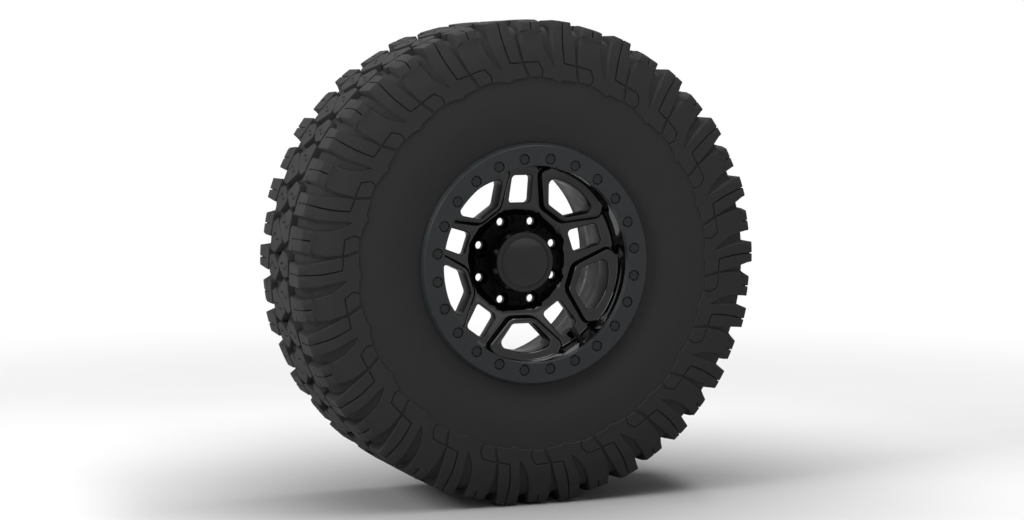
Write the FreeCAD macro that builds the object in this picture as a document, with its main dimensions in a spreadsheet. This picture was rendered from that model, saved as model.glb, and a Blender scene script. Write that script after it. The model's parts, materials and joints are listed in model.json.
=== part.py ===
import math
import os
import re

import FreeCAD
import Part
import Sketcher

# Off-road car wheel. The axle lies along Y, the outer face looks to -Y, and +Z is up.
# The origin is the centre of the wheel. All sizes are in millimetres and degrees.

Vector = FreeCAD.Vector
Rotation = FreeCAD.Rotation
Placement = FreeCAD.Placement

SIZES = {
    # Tyre
    "tyre_radius": 470,
    "tread_half_width": 139,
    "tread_depth": 17,
    "tread_thickness": 15,
    "section_half_width": 159,
    "sidewall_thickness": 12,
    "sidewall_foot_radius": 300,
    "sidewall_foot_round": 150,
    "shoulder_step": 10,
    "bead_width": 20,
    "bead_height": 20,
    "bead_clearance": 0.1,
    # Tread lugs and blocks
    "pitch_count": 22,
    "tread_phase": 6.8,
    "lug_foot_radius": 357,
    "lug_foot_relief": 1,
    "lug_bend_radius": 425,
    "lug_bend_drop": 5,
    "lug_root": 5,
    "shoulder_lug_length": 52,
    "long_lug_width": 44,
    "short_lug_width": 46,
    "lug_gap": 20,
    "long_lug_lean": 19,
    "long_lug_taper": 4,
    "short_lug_lean": 12,
    "short_lug_taper": 3,
    "tread_groove": 8,
    "centre_groove": 8,
    "centre_reach": 6,
    "centre_block_gap": 9,
    "centre_block_slant": -26,
    # Wheel casting
    "bead_seat_radius": 218.3,
    "front_bead_face": 146,
    "rear_bead_face": 127,
    "rear_flange_height": 17.3,
    "rear_flange_thickness": 7,
    "bead_stop_height": 9.7,
    "bead_stop_thickness": 6,
    "barrel_radius": 190,
    "barrel_wall": 8,
    "rear_wall": 8.5,
    "well_front": 110,
    "well_rear": 40,
    "hub_face": 30,
    "hub_pad_radius": 95,
    "lug_land": 52,
    "hub_recess_radius": 90,
    "hub_recess_flare": 2,
    "hub_pad_step": 4,
    "star_face": 60,
    "spoke_thickness": 29,
    "spoke_bend_radius": 112,
    "spoke_end_face": 87,
    "cap_bore_clearance": 0.7,
    "hub_bore_radius": 62.55,
    "hub_bore_depth": 14,
    "spoke_count": 5,
    # Large windows and their raised frames
    "frame_top": 108,
    "frame_top_half_width": 26,
    "frame_corner_half_width": 82,
    "frame_corner_depth": 162,
    "frame_corner_round": 15,
    "frame_top_round": 22,
    "frame_height": 80,
    "frame_tilt": 21.3,
    "frame_depth": 34,
    "frame_foot_angle": 18.5,
    "frame_lip": 13,
    "window_half_width": 22,
    "window_corner_half_width": 59,
    "window_corner_depth": 162,
    "window_foot": 181,
    "window_round": 11,
    "window_foot_round": 110,
    # Small windows in the spokes
    "slot_inner": 114,
    "slot_outer": 169,
    "slot_inner_half_width": 23,
    "slot_outer_half_width": 21,
    "slot_round": 8,
    # Lug nut holes
    "lug_circle_radius": 82.55,
    "lug_count": 8,
    "lug_hole_radius": 7.6,
    "lug_seat_radius": 14,
    "lug_seat_half_angle": 30,
    "scallop_radius": 15,
    "hub_pocket_length": 15,
    "hub_pocket_width": 8,
    "hub_pocket_depth": 3,
    # Bead-lock ring and its bolts
    "ring_thickness": 14,
    "ring_outer_radius": 234,
    "ring_edge_slope": 5,
    "ring_edge_height": 9,
    "ring_edge_round": 1.5,
    "bolt_circle_radius": 204.5,
    "bolt_count": 24,
    "bolt_start_angle": 7.5,
    "bolt_hole_radius": 4.5,
    "counterbore_radius": 10.5,
    "counterbore_depth": 10,
    "bolt_head_flats": 16.5,
    "bolt_head_height": 7,
    "bolt_shank_radius": 3.95,
    "bolt_shank_length": 26,
    "washer_radius": 10,
    "washer_thickness": 1.5,
    "insert_radius": 6.5,
    "insert_length": 22,
    "insert_clearance": 0.05,
    "insert_relief": 3,
    # Centre cap
    "cap_radius": 59.5,
    "cap_front": 94,
    "cap_wall": 3,
    "cap_round": 3,
    "cap_flange_radius": 62.3,
    "cap_flange_thickness": 3,
    "cap_face_radius": 50,
    "cap_face_thickness": 2.5,
    "cap_face_clearance": 0.3,
    "snap_ring_depth": 1.8,
    "snap_ring_thickness": 1.8,
    "snap_ring_inner_radius": 60.5,
    "snap_ring_gap_angle": 24,
    # Valve, along a radius of the wheel
    "valve_angle": -54,
    "valve_setback": 101,
    "valve_hole_radius": 5.75,
    "spot_face_radius": 9.5,
    "spot_face_depth": 0.6,
    "valve_head_radius": 9,
    "valve_head_thickness": 4,
    "valve_stem_radius": 3.85,
    "valve_stem_reach": 24,
    "valve_core_radius": 2.6,
    "valve_core_depth": 14,
    "valve_passage_radius": 1.4,
    "valve_clearance": 0.1,
    "grommet_thickness": 3,
    "valve_washer_radius": 7.5,
    "valve_washer_thickness": 1.5,
    "valve_nut_flats": 13,
    "valve_nut_height": 6,
    "core_setback": 1,
    "core_plug_length": 6,
    "core_gasket_length": 2,
    "core_pin_radius": 0.7,
    "core_hole_radius": 0.9,
    "core_neck_radius": 1.7,
    "core_tail_gap": 0.6,
    "core_seal_length": 1.4,
    "core_seal_radius": 1.6,
    "core_spring_radius": 1.9,
    "core_spring_wire": 0.2,
    "core_spring_turns": 3,
    "core_spring_steps": 14,
    "core_spring_sides": 8,
    "valve_cap_radius": 5.2,
    "valve_cap_grip": 7,
    "valve_cap_end": 4.5,
    "valve_cap_clearance": 0.15,
    "cap_seal_thickness": 1.5,
    "cap_seal_bore": 2.2,
    "cap_pin_recess": 1.7,
}

doc = FreeCAD.newDocument("car_wheel")
sheet = doc.addObject("Spreadsheet::Sheet", "Sizes")
for row, (alias, size) in enumerate(SIZES.items(), start=1):
    sheet.set(f"A{row}", alias)
    sheet.set(f"B{row}", str(size))
    sheet.setAlias(f"B{row}", alias)
doc.recompute()

sub_parts = []


def formula(text):
    """A formula of sheet names, written as other objects of the document read it."""
    return re.sub(r"\b[a-z]+(?:_[a-z]+)+\b", lambda name: "Sizes." + name.group(0), text)


def value(text):
    """The number that a formula of sheet names gives."""
    return float(sheet.evalExpression(formula(text)))


def bind(thing, prop, text):
    """Tie a property to a formula of sheet names."""
    thing.setExpression(prop, formula(text))


def origin_feature(body, role):
    """One of the body's own origin planes or axes."""
    return next(item for item in body.Origin.OriginFeatures if item.Role == role)


def new_body(label):
    """An empty body whose label names its file."""
    body = doc.addObject("PartDesign::Body", label)
    body.Label = label
    return body


def new_sketch(body, name, role, offset=None):
    """A sketch on an origin plane of its body, moved by an optional placement."""
    sketch = body.newObject("Sketcher::SketchObject", name)
    sketch.AttachmentSupport = [(origin_feature(body, role), "")]
    sketch.MapMode = "FlatFace"
    if offset:
        sketch.AttachmentOffset = offset
    return sketch


def bind_constraint(sketch, constraint, text):
    """Add a dimension to a sketch and tie it to a formula."""
    index = sketch.addConstraint(constraint)
    sketch.setExpression(f"Constraints[{index}]", formula(text))


def pin_point(sketch, geometry, end, across, along):
    """Fix one point of a sketch at two formulas, measured from the sketch's origin."""
    for kind, text, axis in (("DistanceX", across, -2), ("DistanceY", along, -1)):
        if text == "0":
            sketch.addConstraint(Sketcher.Constraint("PointOnObject", geometry, end, axis))
        else:
            limit = Sketcher.Constraint(kind, -1, 1, geometry, end, value(text))
            bind_constraint(sketch, limit, text)


def outline(sketch, corners):
    """A closed outline. Each corner is (across, along) or (across, along, rounding radius)."""
    points = [Vector(value(corner[0]), value(corner[1]), 0) for corner in corners]
    count = len(corners)
    entry, leave, arcs = [], [], {}
    for i, here in enumerate(points):
        if len(corners[i]) == 2:
            entry.append(here)
            leave.append(here)
            continue
        radius = value(corners[i][2])
        back = (points[i - 1] - here).normalize()
        ahead = (points[(i + 1) % count] - here).normalize()
        half = back.getAngle(ahead) / 2
        reach = radius / math.tan(half)
        entry.append(here + back * reach)
        leave.append(here + ahead * reach)
        centre = here + (back + ahead).normalize() * (radius / math.sin(half))
        turns_left = (ahead.cross(back)).z > 0
        first, last = (entry[i], leave[i]) if turns_left else (leave[i], entry[i])
        angles = [math.atan2(p.y - centre.y, p.x - centre.x) for p in (first, last)]
        circle = Part.Circle(centre, Vector(0, 0, 1), radius)
        arcs[i] = (Part.ArcOfCircle(circle, *angles), turns_left)
    lines = []
    for i in range(count):
        lines.append(sketch.addGeometry(Part.LineSegment(leave[i], entry[(i + 1) % count])))
    for i in range(count):
        before, after = lines[i - 1], lines[i]
        if i not in arcs:
            sketch.addConstraint(Sketcher.Constraint("Coincident", before, 2, after, 1))
            pin_point(sketch, after, 1, corners[i][0], corners[i][1])
            continue
        apex = sketch.addGeometry(Part.Point(points[i]), True)
        pin_point(sketch, apex, 1, corners[i][0], corners[i][1])
        sketch.addConstraint(Sketcher.Constraint("PointOnObject", apex, 1, before))
        sketch.addConstraint(Sketcher.Constraint("PointOnObject", apex, 1, after))
        arc = sketch.addGeometry(arcs[i][0])
        first, last = (1, 2) if arcs[i][1] else (2, 1)
        sketch.addConstraint(Sketcher.Constraint("Tangent", before, 2, arc, first))
        sketch.addConstraint(Sketcher.Constraint("Tangent", after, 1, arc, last))
        bind_constraint(sketch, Sketcher.Constraint("Radius", arc, value(corners[i][2])), corners[i][2])


def circle(sketch, across, along, radius):
    """A circle at two formulas, with its radius as a third."""
    centre = Vector(value(across), value(along), 0)
    ring = sketch.addGeometry(Part.Circle(centre, Vector(0, 0, 1), value(radius)))
    bind_constraint(sketch, Sketcher.Constraint("Radius", ring, value(radius)), radius)
    pin_point(sketch, ring, 3, across, along)


def revolve(body, name, corners, kind="PartDesign::Revolution"):
    """Turn an outline of (radius, axial place) about the Y axis of a body."""
    sketch = new_sketch(body, name + "_outline", "XY_Plane")
    outline(sketch, corners)
    feature = body.newObject(kind, name)
    feature.Profile = sketch
    feature.ReferenceAxis = (sketch, ["V_Axis"])
    feature.Angle = 360
    return feature


def extrude(body, name, kind, sketch, length, reverse=False):
    """Pad or pocket a sketch by a formula's length."""
    feature = body.newObject("PartDesign::" + kind, name)
    feature.Profile = sketch
    feature.Reversed = reverse
    bind(feature, "Length", length)
    return feature


def repeat(body, name, features, count):
    """Copy features evenly round the Y axis and make the copies the body's result."""
    pattern = body.newObject("PartDesign::PolarPattern", name)
    pattern.Originals = features
    pattern.Axis = (origin_feature(body, "Y_Axis"), [""])
    pattern.Angle = 360
    bind(pattern, "Occurrences", count)
    body.Tip = pattern
    return pattern


def front_sketch(body, name, distance):
    """A sketch parallel to the wheel's face, a formula's distance in front of the centre."""
    sketch = new_sketch(body, name, "XZ_Plane", Placement(Vector(0, 0, value(distance)), Rotation()))
    bind(sketch, "AttachmentOffset.Base.z", distance)
    return sketch


def finish(thing):
    """Count an object as a sub-part."""
    sub_parts.append(thing)
    return thing


# Tyre

TREAD_FLOOR = "(tyre_radius - tread_depth)"
LINER = "(tyre_radius - tread_depth - tread_thickness)"
WALL = "(section_half_width - sidewall_thickness)"
BEAD_BORE = "bead_seat_radius + bead_clearance"
BEAD_TOP = "(bead_seat_radius + bead_height)"
FRONT_TOE = "-(front_bead_face - bead_width)"
REAR_TOE = "rear_bead_face - bead_width"
PITCH = "(2 * pi * tyre_radius / pitch_count)"


def mirrored(corners):
    """The same corners on the other side of the tyre's middle, in reverse order."""
    return [(c[0], f"-({c[1]})") + c[2:] for c in reversed(corners)]


def tyre_carcass():
    """Hollow tyre as it is between its lugs."""
    outer = [
        (TREAD_FLOOR, "tread_half_width - 3 * shoulder_step"),
        (TREAD_FLOOR + " - 0.6 * shoulder_step", "tread_half_width - 0.3 * shoulder_step"),
        ("lug_foot_radius", "section_half_width"),
        ("sidewall_foot_radius", "section_half_width", "sidewall_foot_round"),
    ]
    inner = [
        ("sidewall_foot_radius + sidewall_thickness", WALL),
        ("lug_foot_radius", WALL),
        (LINER + " - shoulder_step", "tread_half_width - 1.5 * shoulder_step"),
        (LINER, "tread_half_width - 4 * shoulder_step"),
    ]
    front_bead = [
        (BEAD_TOP, FRONT_TOE),
        (BEAD_BORE, FRONT_TOE),
        (BEAD_BORE, "-front_bead_face"),
        (BEAD_TOP, "-front_bead_face"),
    ]
    rear_bead = [
        (BEAD_TOP, "rear_bead_face"),
        (BEAD_BORE, "rear_bead_face"),
        (BEAD_BORE, REAR_TOE),
        (BEAD_TOP, REAR_TOE),
    ]
    body = new_body("tyre_carcass")
    corners = front_bead + mirrored(outer) + outer + rear_bead + inner + mirrored(inner)
    revolve(body, "carcass", corners)
    return body


def tread_envelope():
    """Ring that the lugs are cut from: their tops outside, and a root inside the carcass."""
    tops = [
        ("tyre_radius", "tread_half_width"),
        ("lug_bend_radius", "section_half_width - lug_bend_drop"),
        ("lug_foot_radius", "section_half_width + lug_foot_relief"),
    ]
    roots = [
        ("lug_foot_radius - lug_root", "section_half_width - lug_root"),
        (TREAD_FLOOR + " - 2.4 * lug_root", "tread_half_width - 1.8 * lug_root"),
        (TREAD_FLOOR + " - lug_root", "tread_half_width - 6 * lug_root"),
    ]
    body = new_body("tread_envelope")
    revolve(body, "envelope", mirrored(tops) + tops + roots + mirrored(roots))
    return body


def lug(name, top, foot):
    """A lug's plan at the crown and at its foot, joined by straight flanks."""
    levels = (("top", "tyre_radius + lug_root", top), ("foot", "lug_foot_radius - 4 * lug_root", foot))
    sections = []
    for level, height, corners in levels:
        sketch = doc.addObject("Sketcher::SketchObject", f"{name}_{level}")
        bind(sketch, "Placement.Base.z", height)
        outline(sketch, corners)
        sections.append(sketch)
    loft = doc.addObject("Part::Loft", name)
    loft.Sections = sections
    loft.Solid = True
    loft.Ruled = True
    return loft


def shoulder_lug(name, width, lean, taper):
    """A lug that wraps over the front shoulder and leans as it runs down the sidewall."""
    inner = "-(tread_half_width - shoulder_lug_length)"
    outer = "-(section_half_width + 4 * lug_root)"
    right, left = f"{width} / 2", f"-{width} / 2"
    foot_right, foot_left = f"{right} + {lean}", f"{left} + {taper}"
    top = [(left, outer), (right, outer), (right, inner), (left, inner)]
    foot = [(foot_left, outer), (foot_right, outer), (foot_right, inner), (foot_left, inner)]
    return lug(name, top, foot)


def centre_block(name, reach):
    """A slanted block of the front centre row, which reaches to a given place across the tread."""
    outer = "-(tread_half_width - shoulder_lug_length - tread_groove)"
    half = f"({PITCH} / 4 - centre_block_gap / 2)"
    slant = "centre_block_slant / 2"
    plan = [
        (f"-{half} - {slant}", outer),
        (f"{half} - {slant}", outer),
        (f"{half} + {slant}", reach),
        (f"-{half} + {slant}", reach),
    ]
    return lug(name, plan, plan)


def tyre():
    """Carcass with every lug and block of the tread moulded on."""
    carcass = tyre_carcass()
    envelope = tread_envelope()
    short_phase = "-(long_lug_width / 2 + lug_gap + short_lug_width / 2)"
    row = [
        (shoulder_lug("long_lug", "long_lug_width", "long_lug_lean", "long_lug_taper"), "0"),
        (shoulder_lug("short_lug", "short_lug_width", "short_lug_lean", "short_lug_taper"), short_phase),
        (centre_block("long_block", "centre_reach"), f"{PITCH} / 4"),
        (centre_block("short_block", "-(centre_reach + centre_groove)"), f"{PITCH} * 3 / 4"),
    ]
    doc.recompute()
    count = int(value("pitch_count"))
    axle = Vector(0, 1, 0)
    lugs = []
    for piece, phase in row:
        front = piece.Shape.common(envelope.Shape)
        turn = value("tread_phase") + math.degrees(value(phase) / value("tyre_radius"))
        front.rotate(Vector(), axle, turn)
        rear = front.copy()
        rear.rotate(Vector(), Vector(0, 0, 1), 180)
        for side in (front, rear):
            for k in range(count):
                copy = side.copy()
                copy.rotate(Vector(), axle, 360 * k / count)
                lugs += copy.Solids
    feature = doc.addObject("Part::Feature", "tyre")
    feature.Shape = carcass.Shape.fuse(lugs)
    return finish(feature)


# Wheel casting

FRONT_SEAT = "-front_bead_face"
WELL = "barrel_radius + barrel_wall"
REAR_INSIDE = "bead_seat_radius - rear_wall"
FLANGE_TOP = "bead_seat_radius + rear_flange_height"
CAP_BORE = "cap_radius + cap_bore_clearance"
SNAP_BACK = "-(hub_face + hub_bore_depth - cap_flange_thickness - snap_ring_thickness)"
SNAP_FRONT = "-(hub_face + hub_bore_depth - cap_flange_thickness)"
SNAP_WALL = "hub_bore_radius + snap_ring_depth"
BORE_STEP = "-(hub_face + hub_bore_depth)"
BOLT_PLACE = (
    "bolt_circle_radius * cos(bolt_start_angle)",
    "bolt_circle_radius * sin(bolt_start_angle)",
)
VALVE_SEAT = "barrel_radius + spot_face_depth"


def wheel_section(body):
    """The turned form of the wheel: barrel, bead seats, hub and one dished disc."""
    corners = [
        ("barrel_radius", FRONT_SEAT),
        ("bead_seat_radius", FRONT_SEAT),
        ("bead_seat_radius", FRONT_TOE),
        ("bead_seat_radius + bead_stop_height", FRONT_TOE),
        ("bead_seat_radius + bead_stop_height", FRONT_TOE + " + bead_stop_thickness"),
        (WELL, "-well_front"),
        (WELL, "well_rear"),
        ("bead_seat_radius", "rear_bead_face - 1.5 * bead_width"),
        ("bead_seat_radius", "rear_bead_face"),
        (FLANGE_TOP, "rear_bead_face"),
        (FLANGE_TOP, "rear_bead_face + rear_flange_thickness", "0.4 * rear_flange_thickness"),
        (REAR_INSIDE, "rear_bead_face + rear_flange_thickness"),
        (REAR_INSIDE, "rear_bead_face - 1.5 * bead_width"),
        ("barrel_radius", "well_rear - barrel_wall / 2"),
        ("barrel_radius", "-(spoke_end_face - spoke_thickness)", "2 * slot_round"),
        ("hub_pad_radius + slot_round", "-(hub_face + hub_pad_step)"),
        ("hub_pad_radius", "-hub_face"),
        ("hub_bore_radius", "-hub_face"),
        ("hub_bore_radius", SNAP_BACK),
        (SNAP_WALL, SNAP_BACK),
        (SNAP_WALL, SNAP_FRONT),
        ("hub_bore_radius", SNAP_FRONT),
        ("hub_bore_radius", BORE_STEP),
        (CAP_BORE, BORE_STEP),
        (CAP_BORE, "-lug_land"),
        ("hub_recess_radius", "-lug_land"),
        ("hub_recess_radius + hub_recess_flare", "-star_face"),
        ("spoke_bend_radius", "-(star_face + hub_recess_flare)"),
        ("barrel_radius", "-spoke_end_face", "slot_round"),
    ]
    return revolve(body, "section", corners)


def window_frames(body):
    """Raised frames of the large windows, on planes that tip towards the barrel."""
    slope = "cos(frame_tilt)"
    tip = Rotation(Vector(-1, 0, 0), value("frame_tilt"))
    offset = Placement(Vector(0, -value("frame_top"), value("frame_height")), tip)
    sketch = new_sketch(body, "frame_outline", "XZ_Plane", offset)
    bind(sketch, "AttachmentOffset.Base.y", "-frame_top")
    bind(sketch, "AttachmentOffset.Base.z", "frame_height")
    bind(sketch, "AttachmentOffset.Rotation.Angle", "frame_tilt")
    foot = "barrel_radius + 0.75 * barrel_wall"
    side_x, side_y = f"({foot}) * sin(frame_foot_angle)", f"({foot}) * cos(frame_foot_angle)"

    def down(depth):
        return f"(frame_top - ({depth})) / {slope}"

    half = [
        ("frame_corner_half_width", down("frame_corner_depth"), "frame_corner_round"),
        (side_x, down(side_y)),
    ]
    left = [("-(" + c[0] + ")",) + c[1:] for c in reversed(half)]
    top = [
        ("-frame_top_half_width", down("frame_top"), "frame_top_round"),
        ("frame_top_half_width", down("frame_top"), "frame_top_round"),
    ]
    outline(sketch, top + half + [("0", down(foot))] + left)
    pad = extrude(body, "frame", "Pad", sketch, "frame_depth")
    pad.UseCustomVector = True
    pad.Direction = Vector(0, 1, 0)
    return repeat(body, "frames", [pad], "spoke_count")


def cut_through(body, name, sketch, count):
    """Cut a front outline through the whole wheel at even steps round the axle."""
    pocket = body.newObject("PartDesign::Pocket", name)
    pocket.Profile = sketch
    pocket.Type = "ThroughAll"
    pocket.Midplane = True
    return repeat(body, name + "s", [pocket], count)


def large_windows(body):
    """Openings inside the raised frames."""
    sketch = front_sketch(body, "window_outline", "0")
    corner = ("window_corner_half_width", "-window_corner_depth", "window_round")
    corners = [
        ("-window_half_width", "-(frame_top + frame_lip)", "window_round"),
        ("window_half_width", "-(frame_top + frame_lip)", "window_round"),
        corner,
        ("0", "-window_foot", "window_foot_round"),
        ("-" + corner[0],) + corner[1:],
    ]
    outline(sketch, corners)
    return cut_through(body, "window", sketch, "spoke_count")


def spoke_slots(body):
    """Small windows along the middle of the spokes."""
    sketch = front_sketch(body, "slot_outline", "0")
    corners = [
        ("-slot_outer_half_width", "slot_outer", "slot_round"),
        ("slot_outer_half_width", "slot_outer", "slot_round"),
        ("slot_inner_half_width", "slot_inner", "slot_round"),
        ("-slot_inner_half_width", "slot_inner", "slot_round"),
    ]
    outline(sketch, corners)
    return cut_through(body, "slot", sketch, "spoke_count")


def lug_holes(body):
    """Scalloped recess and a conical seat for each lug nut."""
    scallop = front_sketch(body, "scallop_outline", "lug_land")
    place = ("lug_circle_radius * cos(180 / lug_count)", "lug_circle_radius * sin(180 / lug_count)")
    circle(scallop, place[0], place[1], "scallop_radius")
    scallops = extrude(body, "scallop", "Pocket", scallop, "frame_depth", reverse=True)
    repeat(body, "scallops", [scallops], "lug_count")
    hole = front_sketch(body, "lug_hole_outline", "0")
    circle(hole, place[0], place[1], "lug_hole_radius")
    cut_through(body, "lug_hole", hole, "lug_count")
    seat = front_sketch(body, "lug_seat_outline", "lug_land")
    circle(seat, place[0], place[1], "lug_seat_radius")
    depth = "(lug_seat_radius - lug_hole_radius) / tan(lug_seat_half_angle)"
    cone = extrude(body, "lug_seat", "Pocket", seat, depth)
    bind(cone, "TaperAngle", "-lug_seat_half_angle")
    repeat(body, "lug_seats", [cone], "lug_count")


def hub_pockets(body):
    """Shallow pockets between the lug holes."""
    sketch = front_sketch(body, "hub_pocket_outline", "lug_land")
    left, right = "-hub_pocket_length / 2", "hub_pocket_length / 2"
    low = "lug_circle_radius - hub_pocket_width / 2"
    high = "lug_circle_radius + hub_pocket_width / 2"
    outline(sketch, [(left, low), (right, low), (right, high), (left, high)])
    pocket = extrude(body, "hub_pocket", "Pocket", sketch, "hub_pocket_depth")
    repeat(body, "hub_pockets", [pocket], "lug_count")


def insert_holes(body):
    """Blind holes for the threaded inserts of the ring bolts."""
    sketch = front_sketch(body, "insert_hole_outline", "front_bead_face")
    circle(sketch, *BOLT_PLACE, "insert_radius")
    pocket = extrude(body, "insert_hole", "Pocket", sketch, "insert_length + insert_relief")
    repeat(body, "insert_holes", [pocket], "bolt_count")


def valve_hole(body):
    """Hole through the barrel for the valve, with a spot face for its washer."""
    for name, radius, reach in (
        ("valve_hole", "valve_hole_radius", "barrel_radius + 3 * barrel_wall"),
        ("spot_face", "spot_face_radius", VALVE_SEAT),
    ):
        offset = Placement(Vector(), Rotation(Vector(0, 1, 0), value("90 - valve_angle")))
        sketch = new_sketch(body, name + "_outline", "XY_Plane", offset)
        bind(sketch, "AttachmentOffset.Rotation.Angle", "90 - valve_angle")
        circle(sketch, "0", "-valve_setback", radius)
        extrude(body, name, "Pocket", sketch, reach, reverse=True)


def wheel_casting():
    """Cast wheel with its spokes, windows and holes."""
    body = new_body("wheel_casting")
    wheel_section(body)
    window_frames(body)
    large_windows(body)
    spoke_slots(body)
    lug_holes(body)
    hub_pockets(body)
    insert_holes(body)
    valve_hole(body)
    return finish(body)


# Bead-lock ring and its fasteners

SHANK_BORE = "bolt_shank_radius + insert_clearance"
RING_FACE = "(front_bead_face + ring_thickness)"
BORE_FLOOR = "(front_bead_face + ring_thickness - counterbore_depth)"
HEAD_SEAT = "(front_bead_face + ring_thickness - counterbore_depth + washer_thickness)"


def beadlock_ring():
    """Flat clamp ring with sloped outer edge and counterbored bolt holes."""
    body = new_body("beadlock_ring")
    corners = [
        ("barrel_radius", "-front_bead_face"),
        ("barrel_radius", f"-{RING_FACE}", "ring_edge_round"),
        ("ring_outer_radius - ring_edge_slope", f"-{RING_FACE}", "2 * ring_edge_round"),
        ("ring_outer_radius", f"-{RING_FACE} + ring_edge_height", "2 * ring_edge_round"),
        ("ring_outer_radius", "-front_bead_face"),
    ]
    revolve(body, "plate", corners)
    bore = front_sketch(body, "counterbore_outline", RING_FACE)
    circle(bore, *BOLT_PLACE, "counterbore_radius")
    pocket = extrude(body, "counterbore", "Pocket", bore, "counterbore_depth")
    repeat(body, "counterbores", [pocket], "bolt_count")
    hole = front_sketch(body, "ring_hole_outline", RING_FACE)
    circle(hole, *BOLT_PLACE, "bolt_hole_radius")
    pocket = extrude(body, "ring_hole", "Pocket", hole, "2 * ring_thickness")
    repeat(body, "ring_holes", [pocket], "bolt_count")
    return finish(body)


def hexagon(sketch, across, along, flats, turn="0"):
    """A hexagon with given width across its flats."""
    corners = []
    for k in range(6):
        angle = f"({turn} + {60 * k})"
        radius = f"({flats}) / 2 / cos(30)"
        corners.append((f"{across} + {radius} * cos({angle})", f"{along} + {radius} * sin({angle})"))
    outline(sketch, corners)


def ring_bolts():
    """Hexagon bolts of the ring."""
    body = new_body("ring_bolts")
    body.AllowCompound = True
    head = front_sketch(body, "head_outline", HEAD_SEAT)
    hexagon(head, *BOLT_PLACE, "bolt_head_flats", "bolt_start_angle")
    head_pad = extrude(body, "head", "Pad", head, "bolt_head_height")
    shank = front_sketch(body, "shank_outline", HEAD_SEAT)
    circle(shank, *BOLT_PLACE, "bolt_shank_radius")
    shank_pad = extrude(body, "shank", "Pad", shank, "bolt_shank_length", reverse=True)
    repeat(body, "bolts", [head_pad, shank_pad], "bolt_count")
    return finish(body)


def ring_group(label, front, length, outer, inner):
    """A group of plain sleeves on the bolt circle."""
    body = new_body(label)
    body.AllowCompound = True
    sketch = front_sketch(body, label + "_outline", front)
    circle(sketch, *BOLT_PLACE, outer)
    circle(sketch, *BOLT_PLACE, inner)
    pad = extrude(body, label + "_sleeve", "Pad", sketch, length, reverse=True)
    repeat(body, label + "_copies", [pad], "bolt_count")
    return finish(body)


# Centre cap

def centre_cap():
    """Deep cap with a recess for its face plate and a flange inside the hub bore."""
    body = new_body("centre_cap")
    inside = "cap_radius - cap_wall"
    recess = "-(cap_front - cap_face_thickness)"
    corners = [
        ("0", recess),
        ("cap_face_radius + cap_face_clearance", recess),
        ("cap_face_radius + cap_face_clearance", "-cap_front"),
        ("cap_radius", "-cap_front", "cap_round"),
        ("cap_radius", BORE_STEP),
        ("cap_flange_radius", BORE_STEP),
        ("cap_flange_radius", SNAP_FRONT),
        (inside, SNAP_FRONT),
        (inside, recess + " + cap_wall"),
        ("0", recess + " + cap_wall"),
    ]
    revolve(body, "cap", corners)
    return finish(body)


def cap_face():
    """Round plate in the front of the cap."""
    body = new_body("cap_face")
    corners = [
        ("0", "-(cap_front - cap_face_thickness)"),
        ("cap_face_radius", "-(cap_front - cap_face_thickness)"),
        ("cap_face_radius", "-cap_front", "0.3 * cap_face_thickness"),
        ("0", "-cap_front"),
    ]
    revolve(body, "plate", corners)
    return finish(body)


def cap_retaining_ring():
    """Open spring ring behind the cap's flange."""
    body = new_body("cap_retaining_ring")
    corners = [
        ("snap_ring_inner_radius", SNAP_FRONT),
        (SNAP_WALL, SNAP_FRONT),
        (SNAP_WALL, SNAP_BACK),
        ("snap_ring_inner_radius", SNAP_BACK),
    ]
    ring = revolve(body, "spring", corners)
    bind(ring, "Angle", "360 - snap_ring_gap_angle")
    return finish(body)


# Valve: each piece is turned about its own Y axis, which lies along a radius of the wheel

STEM_TIP = "(barrel_radius - valve_stem_reach)"
HEAD_INNER = "(barrel_radius + barrel_wall + grommet_thickness)"
HEAD_OUTER = "(barrel_radius + barrel_wall + grommet_thickness + valve_head_thickness)"
CORE_FLOOR = "(barrel_radius - valve_stem_reach + valve_core_depth)"
PLUG_TIP = "(barrel_radius - valve_stem_reach + core_setback)"
PLUG_END = "(barrel_radius - valve_stem_reach + core_setback + core_plug_length)"
NECK_END = "(barrel_radius - valve_stem_reach + core_setback + core_plug_length + core_gasket_length)"
SEAL_START = "(" + NECK_END + " + core_tail_gap)"
SEAL_END = "(" + NECK_END + " + core_tail_gap + core_seal_length)"
CAP_SEAT = "(barrel_radius - valve_stem_reach - cap_seal_thickness)"


def on_valve(body):
    """Place a piece on the valve's axis."""
    body.Placement = Placement(
        Vector(0, -value("valve_setback"), 0),
        Rotation(Vector(0, 1, 0), 90 - value("valve_angle")) * Rotation(Vector(1, 0, 0), 90),
    )
    bind(body, "Placement.Base.y", "-valve_setback")
    return finish(body)


def turned(label, corners):
    """A turned piece of the valve, given as corners of (radius, distance from the axle)."""
    body = new_body(label)
    revolve(body, label + "_turning", corners)
    return on_valve(body)


def valve_stem():
    """Stem with its head inside the barrel, a core chamber and an air passage."""
    corners = [
        ("valve_passage_radius", HEAD_OUTER),
        ("valve_head_radius", HEAD_OUTER),
        ("valve_head_radius", HEAD_INNER),
        ("valve_stem_radius", HEAD_INNER),
        ("valve_stem_radius", STEM_TIP),
        ("valve_core_radius", STEM_TIP),
        ("valve_core_radius", CORE_FLOOR),
        ("valve_passage_radius", CORE_FLOOR),
    ]
    return turned("valve_stem", corners)


def valve_grommet():
    """Rubber sleeve and flange between the stem's head and the barrel."""
    inside = "valve_stem_radius + valve_clearance / 2"
    outside = "valve_hole_radius - valve_clearance / 2"
    corners = [
        (inside, HEAD_INNER),
        ("valve_head_radius", HEAD_INNER),
        ("valve_head_radius", WELL),
        (outside, WELL),
        (outside, VALVE_SEAT),
        (inside, VALVE_SEAT),
    ]
    return turned("valve_grommet", corners)


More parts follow.
